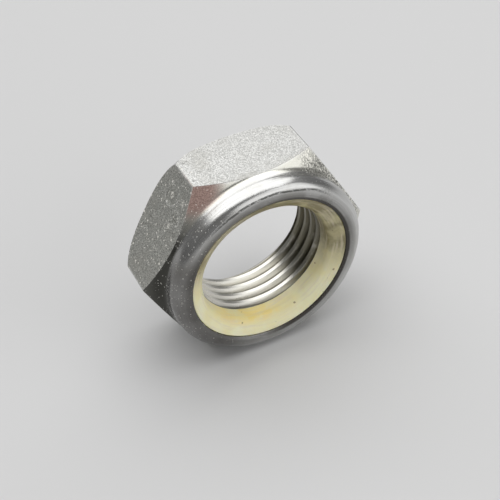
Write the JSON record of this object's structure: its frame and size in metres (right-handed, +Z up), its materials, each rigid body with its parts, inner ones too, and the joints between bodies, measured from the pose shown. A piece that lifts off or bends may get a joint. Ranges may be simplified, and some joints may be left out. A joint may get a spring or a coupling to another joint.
{
  "type": "nylon insert lock nut",
  "caption": "Thin hexagonal lock nut with a crimped collar that holds a nylon locking ring; plated steel, right-hand thread.",
  "frame": {"origin": "centre of the bearing face, on the thread axis", "axes": "+Y out of the bearing face along the thread axis, the nylon end towards -Y; +Z up, square to the two level flats"},
  "size_m": [0.0366, 0.0135, 0.0318],
  "materials": {
    "plated_steel": "satin zinc plate, worn",
    "nylon": "yellowed translucent nylon"
  },
  "bodies": {
    "root": {"nut_body": "plated_steel", "nylon_ring": "nylon"}
  },
  "joints": []
}
